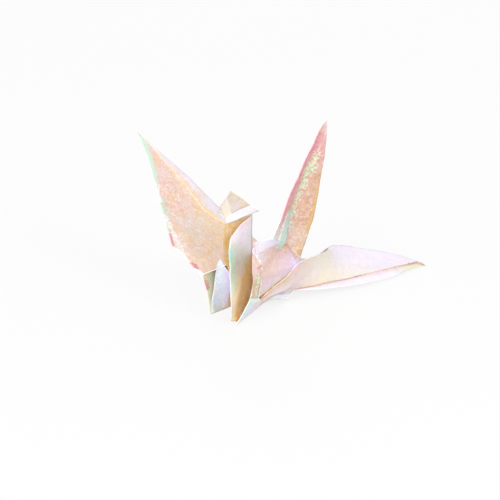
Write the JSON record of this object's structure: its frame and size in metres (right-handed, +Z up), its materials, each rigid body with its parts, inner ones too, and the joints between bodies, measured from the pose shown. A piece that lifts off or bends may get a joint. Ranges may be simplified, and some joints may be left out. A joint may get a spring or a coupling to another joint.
{
  "type": "origami crane",
  "caption": "Origami crane folded from one square of pearly film paper, with a raised flat wing, a creased wing, an open neck channel with a turned-back head and a spread low tail.",
  "frame": {"origin": "on the ground, under the middle of the crane's bounding box", "axes": "-Y the way the crane heads, +X its own left, +Z up; the tail runs towards +Y"},
  "size_m": [0.0458, 0.0502, 0.0422],
  "materials": {
    "film_paper": "crinkled pearly iridescent film, white with peach, pink, lavender and mint shifts"
  },
  "bodies": {
    "root": {"crane": "film_paper"}
  },
  "joints": []
}
